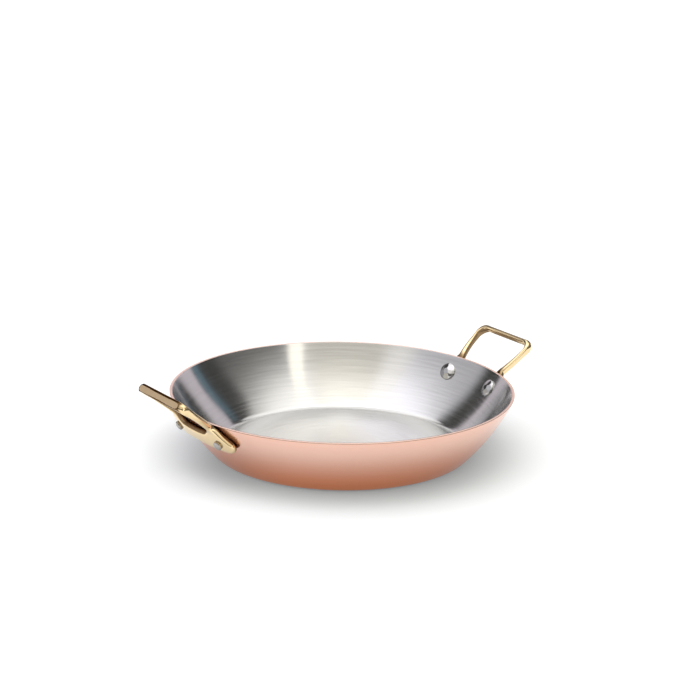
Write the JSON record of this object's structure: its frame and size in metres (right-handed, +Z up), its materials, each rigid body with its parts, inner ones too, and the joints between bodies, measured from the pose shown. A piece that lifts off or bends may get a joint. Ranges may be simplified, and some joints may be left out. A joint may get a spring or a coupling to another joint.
{
  "type": "two-handled serving pan",
  "caption": "Shallow round serving pan with flared copper walls, a brushed steel lining and riveted brass loop handles on opposite sides.",
  "frame": {"origin": "centre of the flat underside of the base, on the surface that the pan stands on", "axes": "+X towards the right handle, so the two handles lie along X; +Z up, towards the rim"},
  "size_m": [0.295, 0.24, 0.0645],
  "materials": {
    "copper": "satin-polished copper",
    "lining_steel": "fine circular brushing",
    "brass": "cast and polished",
    "rivet_steel": "polished"
  },
  "bodies": {
    "root": {"copper_shell": "copper", "steel_lining": "lining_steel", "right_handle": "brass", "left_handle": "brass", "right_front_rivet": "rivet_steel", "right_rear_rivet": "rivet_steel", "left_front_rivet": "rivet_steel", "left_rear_rivet": "rivet_steel"}
  },
  "joints": []
}
